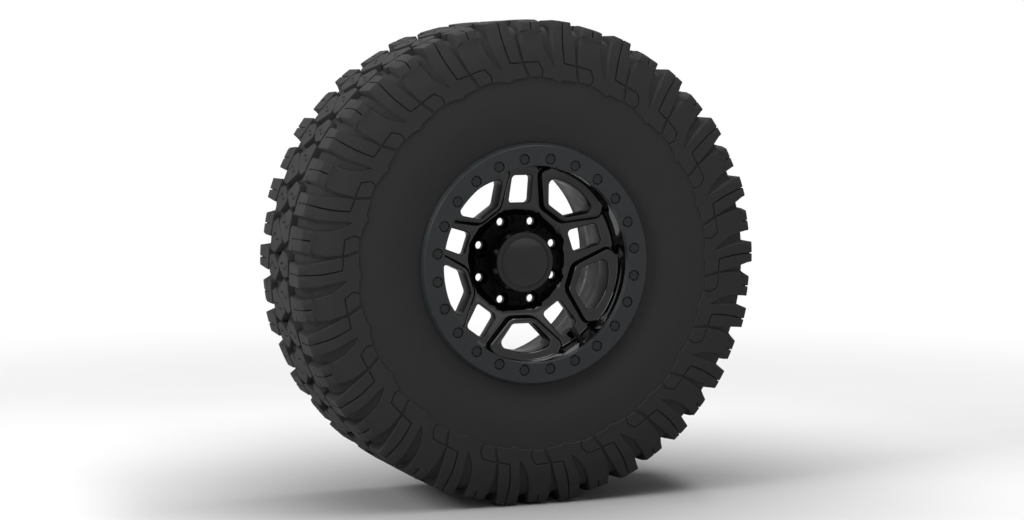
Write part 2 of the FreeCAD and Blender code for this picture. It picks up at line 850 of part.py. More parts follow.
def sleeve(label, inner, outer, start, end):
    """A plain ring of the valve."""
    return turned(label, [(inner, start), (outer, start), (outer, end), (inner, end)])


def valve_nut():
    """Hexagon nut that clamps the stem."""
    body = new_body("valve_nut")
    seat = f"({VALVE_SEAT} - valve_washer_thickness)"
    sketch = new_sketch(body, "nut_outline", "XZ_Plane", Placement(Vector(0, 0, -value(seat)), Rotation()))
    bind(sketch, "AttachmentOffset.Base.z", f"-{seat}")
    hexagon(sketch, "0", "0", "valve_nut_flats")
    circle(sketch, "0", "0", "valve_stem_radius + valve_clearance")
    extrude(body, "nut", "Pad", sketch, "valve_nut_height")
    return on_valve(body)


def valve_core_plug():
    """Screwed part of the core with a neck for its gasket."""
    outside = "valve_core_radius - valve_clearance / 2"
    corners = [
        ("core_hole_radius", PLUG_TIP),
        (outside, PLUG_TIP),
        (outside, PLUG_END),
        ("core_neck_radius", PLUG_END),
        ("core_neck_radius", SEAL_START),
        ("core_hole_radius", SEAL_START),
    ]
    return turned("valve_core_plug", corners)


def valve_core_spring():
    """Helical spring between the core's seal and the floor of its chamber, in short straight lengths."""
    start, end = value(SEAL_END), value(CORE_FLOOR)
    wire = value("core_spring_wire")
    radius = value("core_spring_radius")
    sides = int(value("core_spring_sides"))
    steps = int(value("core_spring_steps"))
    lengths = int(value("core_spring_turns")) * steps
    clear = 1.1 * wire
    span = end - start - 2 * clear
    rings = []
    for step in range(lengths + 1):
        spin = Rotation(Vector(0, 0, 1), 360 * step / steps)
        rise = Vector(0, 0, span * step / lengths)
        corners = []
        for side in range(sides + 1):
            angle = 2 * math.pi * side / sides
            corner = Vector(radius + wire * math.cos(angle), 0, wire * math.sin(angle))
            corners.append(spin.multVec(corner) + rise)
        rings.append(Part.makePolygon(corners))
    feature = doc.addObject("Part::Feature", "valve_core_spring")
    feature.Shape = Part.makeLoft(rings, True, True)
    radial = Rotation(Vector(0, 1, 0), 90 - value("valve_angle"))
    foot = radial.multVec(Vector(0, 0, start + clear))
    feature.Placement = Placement(foot + Vector(0, -value("valve_setback"), 0), radial)
    return finish(feature)


def valve_cap():
    """Screw cap with a bore over the stem and a recess that clears the pin."""
    bore = "valve_stem_radius + valve_cap_clearance"
    end = f"({CAP_SEAT} - valve_cap_end)"
    recess = f"({CAP_SEAT} - valve_cap_end / 2)"
    corners = [
        ("0", end),
        ("valve_cap_radius", end, "0.25 * valve_cap_radius"),
        ("valve_cap_radius", STEM_TIP + " + valve_cap_grip"),
        (bore, STEM_TIP + " + valve_cap_grip"),
        (bore, CAP_SEAT),
        ("cap_pin_recess", CAP_SEAT),
        ("cap_pin_recess", recess),
        ("0", recess),
    ]
    return turned("valve_cap", corners)


def valve():
    """Every piece of the valve."""
    clear = "valve_clearance / 2"
    valve_stem()
    valve_grommet()
    nut_seat = f"({VALVE_SEAT} - valve_washer_thickness)"
    sleeve("valve_washer", "valve_stem_radius + valve_clearance", "valve_washer_radius", nut_seat, VALVE_SEAT)
    valve_nut()
    valve_core_plug()
    gasket = f"valve_core_radius - {clear}"
    sleeve("valve_core_gasket", f"core_neck_radius + {clear}", gasket, PLUG_END, NECK_END)
    pin_end = f"{CORE_FLOOR} + core_seal_length"
    pin_side = [("core_pin_radius", PLUG_TIP), ("core_pin_radius", pin_end)]
    turned("valve_core_pin", [("0", PLUG_TIP)] + pin_side + [("0", pin_end)])
    sleeve("valve_core_seal", "core_pin_radius", "core_seal_radius", SEAL_START, SEAL_END)
    valve_core_spring()
    valve_cap()
    seal = f"valve_stem_radius - {clear}"
    sleeve("valve_cap_seal", "cap_seal_bore", seal, CAP_SEAT, STEM_TIP)


def export():
    """Check every object, then write one file for each sub-part."""
    doc.recompute()
    for item in doc.Objects:
        if "Invalid" in item.State or "Error" in item.State:
            raise RuntimeError(f"{item.Label} failed: {item.State}")
    for item in sub_parts:
        if item.Shape.isNull() or not item.Shape.isValid():
            raise RuntimeError(f"{item.Label} has no valid shape")
    os.makedirs("parts", exist_ok=True)
    for item in sub_parts:
        item.Shape.exportStep(f"parts/{item.Label}.step")
        print(item.Label, len(item.Shape.Solids), round(item.Shape.Volume), item.Shape.BoundBox)


wheel_casting()
beadlock_ring()
ring_bolts()
ring_group("ring_washers", HEAD_SEAT, "washer_thickness", "washer_radius", SHANK_BORE)
ring_group("thread_inserts", "front_bead_face", "insert_length", "insert_radius", SHANK_BORE)
centre_cap()
cap_face()
cap_retaining_ring()
valve()
tyre()
export()
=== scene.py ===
import json
import math

import bmesh
import bpy
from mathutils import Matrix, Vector
from mathutils.geometry import delaunay_2d_cdt

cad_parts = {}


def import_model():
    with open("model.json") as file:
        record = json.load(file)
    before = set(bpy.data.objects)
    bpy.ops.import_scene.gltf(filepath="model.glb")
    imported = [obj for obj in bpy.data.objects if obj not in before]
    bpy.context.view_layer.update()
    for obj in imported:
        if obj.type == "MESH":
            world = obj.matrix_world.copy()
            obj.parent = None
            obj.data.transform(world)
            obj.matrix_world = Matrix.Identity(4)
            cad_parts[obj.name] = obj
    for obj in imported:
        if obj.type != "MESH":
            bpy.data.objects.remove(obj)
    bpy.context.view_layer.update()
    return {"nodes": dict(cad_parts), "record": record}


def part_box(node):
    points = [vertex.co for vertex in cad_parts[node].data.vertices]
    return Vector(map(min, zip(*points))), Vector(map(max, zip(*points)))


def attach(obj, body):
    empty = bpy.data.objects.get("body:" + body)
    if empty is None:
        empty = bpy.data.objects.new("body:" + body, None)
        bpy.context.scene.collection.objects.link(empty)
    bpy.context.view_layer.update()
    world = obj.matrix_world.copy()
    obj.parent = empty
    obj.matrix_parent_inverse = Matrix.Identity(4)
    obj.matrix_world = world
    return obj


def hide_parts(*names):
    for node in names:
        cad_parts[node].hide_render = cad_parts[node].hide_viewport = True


# Looks of the off-road car wheel. The axle lies along Y and the outer face looks to -Y.
# Sizes are in millimetres and angles in degrees, counter-clockwise from +X seen from the front.

MM = 0.001
SHARP_ANGLE = 30
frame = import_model()

# Tread pattern

PITCHES = 22
PITCH_ANGLE = 360 / PITCHES
FIRST_SIPE = 82.8
TYRE_RADIUS = 470
GROOVE_FLOOR = 456
SHOULDER_FLOOR = 457
SIPE_WIDTH = 2.3
LUG_BEVEL = 0.9
MAX_STEP = 10
BURIED = 1.12
SHORT_LUG_START = 4.4
SHORT_LUG_DROP = 4.5
SHOULDER_START = 112
SHOULDER_END = 137
STEP_RADIUS = 447.8
SCOOP_FOOT = 398
SCOOP_DEPTH = 2
SHARPEST_CORNER = 0.3
BEVEL_SHARE = 0.5
PLAN_EPSILON = 1e-4

# Stations across the tyre from beyond its middle to the foot of the lugs:
# radius and half width of the lug tops, then of the floor below them
STATIONS = [
    (TYRE_RADIUS, -40, GROOVE_FLOOR, -40),
    (TYRE_RADIUS, 62, GROOVE_FLOOR, 62),
    (TYRE_RADIUS, 76, SHOULDER_FLOOR, 75),
    (TYRE_RADIUS, 112, SHOULDER_FLOOR, 109),
    (TYRE_RADIUS, 137.6, 449, 132.5),
    (468.4, 139.4, 446, 136.5),
    (449, 146.2, 438.5, 141.6),
    (443.5, 147.9, 435, 143),
    (425, 153.4, 421.5, 147.6),
    (398, 157, 396.5, 153.6),
    (350, 159.6, 350, 156.9),
]


def arc_lengths():
    """Distance of each station from the middle of the tread, along the lug tops."""
    lengths = [STATIONS[0][1]]
    for a, b in zip(STATIONS, STATIONS[1:]):
        lengths.append(lengths[-1] + math.hypot(b[0] - a[0], b[1] - a[1]))
    return lengths


ARCS = arc_lengths()


def section_point(arc, depth):
    """Radius and half width along the lug tops; depth is 0 at the top and 1 at the floor."""
    k = 0
    while k < len(ARCS) - 2 and arc > ARCS[k + 1]:
        k += 1
    share = (arc - ARCS[k]) / (ARCS[k + 1] - ARCS[k])
    near, far = STATIONS[k], STATIONS[k + 1]
    mixed = [n + share * (f - n) for n, f in zip(near, far)]
    radius = mixed[0] + depth * (mixed[2] - mixed[0])
    width = mixed[1] + depth * (mixed[3] - mixed[1])
    return radius, width


def lug_depth(arc):
    """Height of a lug above the floor, in millimetres."""
    top, floor = section_point(arc, 0), section_point(arc, 1)
    return math.hypot(top[0] - floor[0], top[1] - floor[1])


def on_side(angle, radius, draft=2.0):
    """A corner of a lug's plan on the sidewall, by its radius."""
    k = len(STATIONS) - 2
    while k > 2 and radius > STATIONS[k][0]:
        k -= 1
    near, far = STATIONS[k], STATIONS[k + 1]
    share = (near[0] - radius) / (near[0] - far[0])
    return angle, ARCS[k] + share * (ARCS[k + 1] - ARCS[k]), draft


def on_tread(angle, half_width, draft=2.0):
    """A corner of a lug's plan on the tread, by its distance from the middle."""
    return angle, half_width, draft


def flat(corner):
    """A plan corner unrolled to millimetres."""
    angle, arc, draft = corner
    return math.radians(angle) * section_point(arc, 0)[0], arc, draft


def unrolled_angle(across, arc):
    """Angle about the axle of a distance along the unrolled plan."""
    return math.degrees(across / section_point(arc, 0)[0])


def slit(line, width=SIPE_WIDTH):
    """Both edges of a narrow cut along a line of plan corners."""
    points = [flat(c) for c in line]
    sides = ([], [])
    for i, (x, y, _) in enumerate(points):
        before = points[max(i - 1, 0)]
        after = points[min(i + 1, len(points) - 1)]
        dx, dy = after[0] - before[0], after[1] - before[1]
        length = math.hypot(dx, dy)
        nx, ny = -dy / length, dx / length
        for side, sign in zip(sides, (1, -1)):
            px, py = x + sign * nx * width / 2, y + sign * ny * width / 2
            side.append((unrolled_angle(px, py), py, 0.0))
    return sides[0], sides[1]


def signed_area(points):
    """Area of an outline, above zero where it runs counter-clockwise."""
    pairs = zip(points, points[1:] + points[:1])
    return sum(a[0] * b[1] - b[0] * a[1] for a, b in pairs) / 2


def sampled(corners):
    """The unrolled outline with points added at each station and along its long edges."""
    points = [flat(c) for c in corners]
    result = []
    for a, b in zip(points, points[1:] + points[:1]):
        count = max(1, math.ceil(math.hypot(b[0] - a[0], b[1] - a[1]) / MAX_STEP))
        cuts = {i / count: None for i in range(count)}
        for row, arc in enumerate(ARCS):
            if (a[1] - arc) * (b[1] - arc) < 0:
                cuts[(arc - a[1]) / (b[1] - a[1])] = row
        for t in sorted(cuts):
            mixed = [p + t * (q - p) for p, q in zip(a, b)]
            result.append((mixed[0], mixed[1], mixed[2], cuts[t]))
    return result


def offsets(points):
    """For each point of an outline, the step that moves its edges inwards by one."""
    steps = []
    count = len(points)
    for i in range(count):
        normals = []
        for a, b in ((points[i - 1], points[i]), (points[i], points[(i + 1) % count])):
            dx, dy = b[0] - a[0], b[1] - a[1]
            length = math.hypot(dx, dy)
            normals.append((-dy / length, dx / length))
        (ax, ay), (bx, by) = normals
        scale = 1 / max(SHARPEST_CORNER, 1 + ax * bx + ay * by)
        steps.append(((ax + bx) * scale, (ay + by) * scale))
    return steps


def inside(x, y, loops):
    """Even-odd test of a point against closed outlines."""
    odd = False
    for loop in loops:
        for a, b in zip(loop, loop[1:] + loop[:1]):
            if (a[1] > y) != (b[1] > y):
                if x < a[0] + (y - a[1]) / (b[1] - a[1]) * (b[0] - a[0]):
                    odd = not odd
    return odd


def placed(across, arc, depth):
    """Angle, radius and half width of a point of a lug."""
    angle = unrolled_angle(across, arc)
    radius, width = section_point(arc, depth)
    return angle, radius, width


def shaped(point):
    """Lowers the shoulder of a short lug and scoops out the sidewall below its top block."""
    angle, radius, width = point
    if angle < SHORT_LUG_START or width < SHOULDER_START:
        return point
    if radius > STEP_RADIUS:
        share = min(1, (width - SHOULDER_START) / (SHOULDER_END - SHOULDER_START))
        radius -= SHORT_LUG_DROP * share * (radius - STEP_RADIUS) / (TYRE_RADIUS - STEP_RADIUS)
    elif radius > SCOOP_FOOT:
        width -= SCOOP_DEPTH * (radius - SCOOP_FOOT) / (STEP_RADIUS - SCOOP_FOOT)
    return angle, radius, width


def raised_block(corners, holes=(), bevel=LUG_BEVEL, level=0.0):
    """A block with bevelled rim and drafted flanks: points (angle, radius, half width), faces."""
    loops = []
    for number, outline in enumerate([corners, *holes]):
        points = sampled(outline)
        clockwise = signed_area(points) < 0
        if clockwise != (number > 0):
            points = sampled(list(reversed(outline)))
        loops.append(points)
    points, faces = [], []
    plan, edges, rows = [], [], {}
    rims = []
    for loop in loops:
        steps = offsets(loop)
        first = len(plan)
        for (x, y, _, row), (dx, dy) in zip(loop, steps):
            if row is not None:
                rows.setdefault(row, []).append(len(plan))
            plan.append((x + bevel * dx, y + bevel * dy))
        count = len(loop)
        edges += [(first + i, first + (i + 1) % count) for i in range(count)]
        rims.append((first, loop, steps))
    tops = [plan[first : first + len(loop)] for first, loop, _ in rims]
    for members in rows.values():
        members.sort(key=lambda i: plan[i][0])
        for a, b in zip(members[0::2], members[1::2]):
            count = max(1, math.ceil((plan[b][0] - plan[a][0]) / MAX_STEP))
            chain = [a]
            for i in range(1, count):
                t = i / count
                plan.append(tuple(p + t * (q - p) for p, q in zip(plan[a], plan[b])))
                chain.append(len(plan) - 1)
            chain.append(b)
            edges += list(zip(chain, chain[1:]))
    flat_plan = [Vector(p) for p in plan]
    spots, _, triangles, sources, _, _ = delaunay_2d_cdt(flat_plan, edges, [], 0, PLAN_EPSILON)
    place_of = {}
    for i, spot in enumerate(spots):
        for source in sources[i]:
            place_of[source] = i
        points.append(shaped(placed(spot.x, spot.y, level)))
    for a, b, c in triangles:
        pa, pb, pc = spots[a], spots[b], spots[c]
        if inside((pa.x + pb.x + pc.x) / 3, (pa.y + pb.y + pc.y) / 3, tops):
            ccw = (pb - pa).cross(pc - pa) > 0
            faces.append((a, b, c) if ccw else (a, c, b))
    for first, loop, steps in rims:
        count = len(loop)
        rim, foot = len(points), len(points) + count
        for x, y, _, _ in loop:
            share = level + min(BEVEL_SHARE, bevel / lug_depth(y))
            points.append(shaped(placed(x, y, share)))
        for (x, y, draft, _), (dx, dy) in zip(loop, steps):
            points.append(placed(x - draft * dx, y - draft * dy, BURIED))
        for i in range(count):
            j = (i + 1) % count
            top_i, top_j = place_of[first + i], place_of[first + j]
            faces.append((rim + i, rim + j, top_j, top_i))
            faces.append((foot + i, foot + j, rim + j, rim + i))
    return points, faces


# Plan of one pitch of the front sidewall: long lug, short lug and the foot that joins them.
# Angles are counted from the long lug's sipe.

LONG_LUG_SIPE = [
    on_tread(0, 88),
    on_tread(0, 116),
    on_tread(0, 130),
    on_side(0, 466),
    on_side(0, 440),
    on_side(-0.12, 425),
    on_side(-0.45, 409),
    on_side(-1.05, 389.5),
]
LONG_LUG_SHELF = [on_side(-1.05, 389.5), on_side(-2.5, 388.3), on_side(-4.5, 388)]
SHORT_LUG_SIPE = [
    on_tread(8.3, 86),
    on_tread(8.2, 120),
    on_tread(8.2, 131),
    on_side(8.2, 462),
    on_side(8.2, 452),
]


def joined_lugs():
    """Outline of a long and a short lug with the foot between them."""
    upper, lower = slit(LONG_LUG_SIPE + LONG_LUG_SHELF[1:])
    return [
        on_tread(-2.2, 79, 2),
        on_tread(-2.65, 84, 2),
        on_tread(-2.5, 100, 3),
        on_tread(-2.1, 134, 5),
        on_side(-2.15, 462, 5),
        on_side(-2.7, 446, 3),
        on_side(-3.55, 420, 1.5),
        on_side(-4.3, 397, 1),
        *reversed(upper),
        *lower,
        on_side(-5.85, 363, 0.5),
        on_side(-5.85, 358.2, 0.2),
        on_side(-1.3, 357, 0.2),
        on_side(-0.1, 352, 0.2),
        on_side(2.6, 358, 0.2),
        on_side(5.55, 359, 0.5),
        on_side(5.2, 372.3, 0.3),
        on_side(6.75, 389.2, 0.3),
        on_side(11.15, 389.2, 1),
        on_side(11.35, 402, 1.5),
        on_side(11.6, 420, 4),
        on_side(11.2, 440, 9),
        on_side(10.75, 462, 13),
        on_tread(10.7, 134, 10),
        on_tread(11, 97, 3),
        on_tread(9.7, 95.5, 0),
        on_tread(9.8, 92.5, 0),
        on_tread(11.1, 91, 2),
        on_tread(11.2, 70, 2),
        on_tread(10.6, 66, 2),
        on_tread(6.1, 70, 2),
        on_tread(5.45, 74, 2),
        on_tread(5.5, 100, 2),
        on_tread(5.75, 134, 1.5),
        on_side(5.8, 460, 1.5),
        on_side(5.65, 440, 1),
        on_side(5.1, 415, 0.6),
        on_side(3.7, 395, 0.3),
        on_side(1.9, 381, 0),
        on_side(2.0, 396, 2),
        on_side(2.55, 420, 5),
        on_side(2.85, 445, 6),
        on_side(2.85, 464, 5),
        on_tread(2.8, 134, 5),
        on_tread(2.85, 100, 3),
        on_tread(2.9, 76, 2),
        on_tread(2.3, 72.5, 2),
    ]


def foot_tab():
    """Outline of the six-sided tab at a short lug's foot."""
    return [
        on_side(5.95, 361, 0.3),
        on_side(5.5, 372.2, 0.3),
        on_side(6.95, 387.3, 0.3),
        on_side(11.05, 387.3, 0.5),
        on_side(9.55, 362.5, 0.5),
        on_side(9.45, 360, 0.8),
    ]


# Plan of one pitch of the centre row: two shield-shaped blocks that point past the middle,
# each with a wavy sipe

LARGE_BLOCK = [(2.6, 60), (8.9, 58.5), (9.9, 37), (9.4, 25), (5.9, -13), (4.6, -15), (1.8, 33)]
LARGE_BLOCK_SIPE = [(5.3, 50), (6.4, 41), (6.1, 31), (4.9, 22), (5.2, 8)]
SMALL_BLOCK = [
    (-4, 59), (-2.9, 66.5), (0.9, 65), (1.5, 37), (0.9, 25), (-1.3, -1), (-2.4, -1), (-4.8, 29)
]
SMALL_BLOCK_SIPE = [(-1.6, 57), (-0.5, 48), (-0.8, 38), (-1.9, 29), (-1.6, 15)]
SIPE_FLOOR = 0.2
SIPE_OVERLAP = 0.8
SIPE_FLOOR_BEVEL = 0.1
TAB_BEVEL = 0.8


def tread_plan(spots):
    """Plan corners from pairs of angle and distance from the middle."""
    return [on_tread(angle, half_width) for angle, half_width in spots]


def closed_slit(line, width=SIPE_WIDTH):
    """Outline of a narrow cut."""
    out, back = slit(line, width)
    return out + list(reversed(back))


def sipe_floor(line):
    """Rubber at the bottom of a sipe, a little wider than the cut."""
    outline = closed_slit(line, SIPE_WIDTH + SIPE_OVERLAP)
    return raised_block(outline, bevel=SIPE_FLOOR_BEVEL, level=SIPE_FLOOR)


def centre_blocks():
    """Both blocks of one pitch of the centre row, with their sipes."""
    pieces = []
    for outline, sipe in ((LARGE_BLOCK, LARGE_BLOCK_SIPE), (SMALL_BLOCK, SMALL_BLOCK_SIPE)):
        line = tread_plan(sipe)
        pieces.append(raised_block(tread_plan(outline), [closed_slit(line)]))
        pieces.append(sipe_floor(line))
    return joined(pieces)


def joined(pieces):
    """Several point and face lists as one."""
    points, faces = [], []
    for more_points, more_faces in pieces:
        start = len(points)
        points += more_points
        faces += [tuple(start + i for i in face) for face in more_faces]
    return points, faces


def ring_of_pitches(pattern):
    """One pitch repeated round the front and, half a turn about the vertical, round the rear."""
    points, faces = pattern
    vertices, polygons = [], []
    for side in (1, -1):
        for k in range(PITCHES):
            start = len(vertices)
            for angle, radius, width in points:
                theta = math.radians(FIRST_SIPE + angle + k * PITCH_ANGLE)
                x, z = radius * math.cos(theta), radius * math.sin(theta)
                vertices.append((side * x * MM, -side * width * MM, z * MM))
            polygons += [tuple(start + i for i in face) for face in faces]
    return vertices, polygons


def mesh_object(name, vertices, polygons, sharp_angle=SHARP_ANGLE):
    """A smooth-shaded object whose edges past an angle stay sharp."""
    mesh = bpy.data.meshes.new(name)
    mesh.from_pydata(vertices, [], polygons)
    mesh.validate()
    mesh.shade_smooth()
    mesh.set_sharp_from_angle(angle=math.radians(sharp_angle))
    thing = bpy.data.objects.new(name, mesh)
    bpy.context.scene.collection.objects.link(thing)
    return thing


# Tyre carcass, as (radius, distance along Y) round its section

CARCASS_OUTER = [
    (449, 132.5),
    (446, 136.5),
    (438.5, 141.6),
    (421.5, 147.6),
    (396.5, 153.6),
    (370, 156),
    (350, 156.9),
    (322, 157.6),
    (305, 157.2),
    (288, 155.6),
    (270, 152.6),
    (252, 149),
]
FRONT_BEAD = [(238.4, 146.05), (219, 146.05), (219, 126), (238, 126)]
REAR_BEAD = [(238.4, 127.05), (219, 127.05), (219, 107), (238, 107)]
CARCASS_LINER = [(312, 146), (357, 146), (428, 124), (438, 99)]
CARCASS_TREAD = [(GROOVE_FLOOR, 62), (SHOULDER_FLOOR, 75), (SHOULDER_FLOOR, 109)]
SEGMENTS = 176


def carcass():
    """Tyre without its lugs, turned about the axle."""
    front = [(r, -y) for r, y in CARCASS_TREAD + CARCASS_OUTER + FRONT_BEAD + CARCASS_LINER]
    rear = [(r, y) for r, y in reversed(CARCASS_TREAD + CARCASS_OUTER + REAR_BEAD + CARCASS_LINER)]
    return revolved("tyre_carcass", front + rear)


def revolved(name, section, sharp_angle=SHARP_ANGLE):
    """A closed section of (radius, y) corners turned about the axle."""
    vertices, polygons = [], []
    count = len(section)
    for k in range(SEGMENTS):
        theta = 2 * math.pi * k / SEGMENTS
        for radius, y in section:
            vertices.append((radius * math.cos(theta) * MM, y * MM, radius * math.sin(theta) * MM))
    for k in range(SEGMENTS):
        a, b = k * count, (k + 1) % SEGMENTS * count
        for i in range(count):
            j = (i + 1) % count
            polygons.append((a + i, a + j, b + j, b + i))
    return mesh_object(name, vertices, polygons, sharp_angle)


# Materials

CLOUD_DETAIL = 6
CLOUD_RANGE = (0.3, 0.7)
BUMP_DETAIL = 4
BUMP_HEIGHT = 0.0006


def srgb(value):
    """Linear light of a grey level or colour written as screen values from 0 to 255."""
    levels = value if isinstance(value, tuple) else (value,) * 3
    linear = []
    for level in levels:
        v = level / 255
        linear.append(v / 12.92 if v <= 0.04045 else ((v + 0.055) / 1.055) ** 2.4)
    return (*linear, 1)


def surface(
    name, dark, light, roughness, grain=40, bump=0.1, bump_scale=400, metallic=0.0, specular=0.5
):
    """A finish whose colour wanders between two tones and whose roughness wanders over a range."""
    made = bpy.data.materials.new(name)
    made.use_nodes = True
    nodes, links = made.node_tree.nodes, made.node_tree.links
    shader = nodes["Principled BSDF"]
    shader.inputs["Metallic"].default_value = metallic
    shader.inputs["Specular IOR Level"].default_value = specular
    place = nodes.new("ShaderNodeTexCoord")
    cloud = nodes.new("ShaderNodeTexNoise")
    cloud.inputs["Scale"].default_value = grain
    cloud.inputs["Detail"].default_value = CLOUD_DETAIL
    links.new(place.outputs["Object"], cloud.inputs["Vector"])
    tone = nodes.new("ShaderNodeMix")
    tone.data_type = "RGBA"
    tone.inputs["A"].default_value = srgb(dark)
    tone.inputs["B"].default_value = srgb(light)
    links.new(cloud.outputs["Fac"], tone.inputs["Factor"])
    links.new(tone.outputs["Result"], shader.inputs["Base Color"])
    spread = nodes.new("ShaderNodeMapRange")
    spread.inputs["From Min"].default_value = CLOUD_RANGE[0]
    spread.inputs["From Max"].default_value = CLOUD_RANGE[1]
    spread.inputs["To Min"].default_value = roughness[0]
    spread.inputs["To Max"].default_value = roughness[1]
    links.new(cloud.outputs["Fac"], spread.inputs["Value"])
    links.new(spread.outputs["Result"], shader.inputs["Roughness"])
    fine = nodes.new("ShaderNodeTexNoise")
    fine.inputs["Scale"].default_value = bump_scale
    fine.inputs["Detail"].default_value = BUMP_DETAIL
    links.new(place.outputs["Object"], fine.inputs["Vector"])
    relief = nodes.new("ShaderNodeBump")
    relief.inputs["Strength"].default_value = bump
    relief.inputs["Distance"].default_value = BUMP_HEIGHT
    links.new(fine.outputs["Fac"], relief.inputs["Height"])
    links.new(relief.outputs["Normal"], shader.inputs["Normal"])
    return made


FINISHES = {
    "tyre_rubber": surface(
        "tyre_rubber", 40, 50, (0.7, 0.88),
        grain=18, bump=0.25, bump_scale=700, specular=0.12,
    ),
    "gloss_black": surface(
        "gloss_black", 4, 7, (0.05, 0.1),
        grain=30, bump=0.015, bump_scale=900, specular=0.38,
    ),
    "satin_grey": surface(
        "satin_grey", (31, 34, 36), (39, 42, 44), (0.36, 0.48),
        grain=60, bump=0.06, specular=0.2,
    ),
    "bolt_black": surface(
        "bolt_black", (22, 23, 24), (30, 31, 32), (0.4, 0.55),
        grain=120, bump=0.08, specular=0.2,
    ),
    "steel": surface(
        "steel", (150, 150, 152), (170, 170, 172), (0.25, 0.4),
        grain=150, bump=0.05, metallic=1.0,
    ),
    "cap_black": surface(
        "cap_black", 16, 22, (0.3, 0.42),
        grain=60, bump=0.05, specular=0.25,
    ),
    "cap_face_black": surface(
        "cap_face_black", 10, 14, (0.1, 0.16),
        grain=50, bump=0.03, specular=0.3,
    ),
    "valve_metal": surface(
        "valve_metal", 28, 36, (0.25, 0.35),
        grain=200, bump=0.05, metallic=0.6,
    ),
    "core_brass": surface(
        "core_brass", (150, 118, 62), (176, 142, 80), (0.3, 0.4),
        grain=200, metallic=1.0,
    ),
    "seal_rubber": surface(
        "seal_rubber", 24, 32, (0.7, 0.85),
        grain=150, bump=0.2, specular=0.15,
    ),
    "valve_cap_black": surface(
        "valve_cap_black", 22, 30, (0.4, 0.55),
        grain=200, bump=0.1, specular=0.25,
    ),
}


def wear(thing, slot):
    """Gives a piece its finish and the name of the record's slot."""
    thing.data.materials.clear()
    thing.data.materials.append(FINISHES[slot])


def dress_solids():
    """Puts each solid's finish on it, by the slot named in the record."""
    for part in frame["record"]["subparts"]:
        node = frame["nodes"].get(part["node"])
        if node:
            node.data.materials.clear()
            node.data.materials.append(FINISHES[part["material_slot"]])


# Stage

FLOOR_LEVEL = -TYRE_RADIUS * MM
FLOOR_REACH = 40
# Painted shadow on the floor: its colour drops to this share at the wheel and eases back to full
# over this reach in metres.
PAINTED_SHADOW_REACH = 1.3
PAINTED_SHADOW_SHARE = 0.38


def white_to_sight(nodes, links):
    """1 where a surface is seen, mirrored or looked through to, and 0 where it only lights."""
    path = nodes.new("ShaderNodeLightPath")
    total = path.outputs["Is Camera Ray"]
    for name in ("Is Glossy Ray", "Is Transmission Ray"):
        add = nodes.new("ShaderNodeMath")
        add.operation = "MAXIMUM"
        links.new(total, add.inputs[0])
        links.new(path.outputs[name], add.inputs[1])
        total = add.outputs["Value"]
    return total


def world(ambient):
    """White to sight, and a weak light from all around."""
    made = bpy.data.worlds.new("studio")
    bpy.context.scene.world = made
    made.use_nodes = True
    nodes, links = made.node_tree.nodes, made.node_tree.links
    back = nodes["Background"]
    back.inputs["Color"].default_value = (1, 1, 1, 1)
    level = nodes.new("ShaderNodeMapRange")
    level.inputs["To Min"].default_value = ambient
    level.inputs["To Max"].default_value = 1
    links.new(white_to_sight(nodes, links), level.inputs["Value"])
    links.new(level.outputs["Result"], back.inputs["Strength"])


def ramp(nodes, links, source, start, end, low, high):
    """A value that eases from one level to another as the source goes from start to end."""
    node = nodes.new("ShaderNodeMapRange")
    node.interpolation_type = "SMOOTHSTEP"
    for name, number in zip(("From Min", "From Max", "To Min", "To Max"), (start, end, low, high)):
        node.inputs[name].default_value = number
    links.new(source, node.inputs["Value"])
    return node.outputs["Result"]


def floor(fade_start, fade_end):
    """Pale floor, greyer near the wheel by a painted shadow, that passes into the white background
    away from it.
    """
    corners = ((-1, -1), (1, -1), (1, 1), (-1, 1))
    vertices = [(x * FLOOR_REACH, y * FLOOR_REACH, FLOOR_LEVEL) for x, y in corners]
    thing = mesh_object("floor", vertices, [(0, 1, 2, 3)])
    made = surface(
        "floor_white", 243, 250, (0.8, 0.9), grain=3, bump=0.02, bump_scale=60, specular=0.1
    )
    nodes, links = made.node_tree.nodes, made.node_tree.links
    shader, output = nodes["Principled BSDF"], nodes["Material Output"]
    place = nodes.new("ShaderNodeNewGeometry")
    level = nodes.new("ShaderNodeVectorMath")
    level.operation = "MULTIPLY"
    level.inputs[1].default_value = (1, 1, 0)
    links.new(place.outputs["Position"], level.inputs[0])
    length = nodes.new("ShaderNodeVectorMath")
    length.operation = "LENGTH"
    links.new(level.outputs["Vector"], length.inputs[0])
    distance = length.outputs["Value"]
    # Painted shadow: the floor's colour is scaled down near the wheel.
    grey = nodes.new("ShaderNodeVectorMath")
    grey.operation = "SCALE"
    links.new(shader.inputs["Base Color"].links[0].from_socket, grey.inputs[0])
    links.new(ramp(nodes, links, distance, 0, PAINTED_SHADOW_REACH, PAINTED_SHADOW_SHARE, 1), grey.inputs["Scale"])
    links.new(grey.outputs["Vector"], shader.inputs["Base Color"])
    fade = ramp(nodes, links, distance, fade_start, fade_end, 0, 1)
    share = nodes.new("ShaderNodeMath")
    share.operation = "MULTIPLY"
    links.new(fade, share.inputs[0])
    links.new(white_to_sight(nodes, links), share.inputs[1])
    white = nodes.new("ShaderNodeEmission")
    mix = nodes.new("ShaderNodeMixShader")
    links.new(share.outputs["Value"], mix.inputs["Fac"])
    links.new(shader.outputs["BSDF"], mix.inputs[1])
    links.new(white.outputs["Emission"], mix.inputs[2])
    links.new(mix.outputs["Shader"], output.inputs["Surface"])
    thing.data.materials.append(made)


def softbox(name, place, size, power):
    """A rectangular lamp that faces the wheel's centre."""
    data = bpy.data.lights.new(name, "AREA")
    data.shape = "RECTANGLE"
    data.size, data.size_y = size
    data.energy = power
    lamp = bpy.data.objects.new(name, data)
    lamp.location = place
    lamp.rotation_euler = (-Vector(place)).to_track_quat("-Z", "Y").to_euler()
    bpy.context.scene.collection.objects.link(lamp)


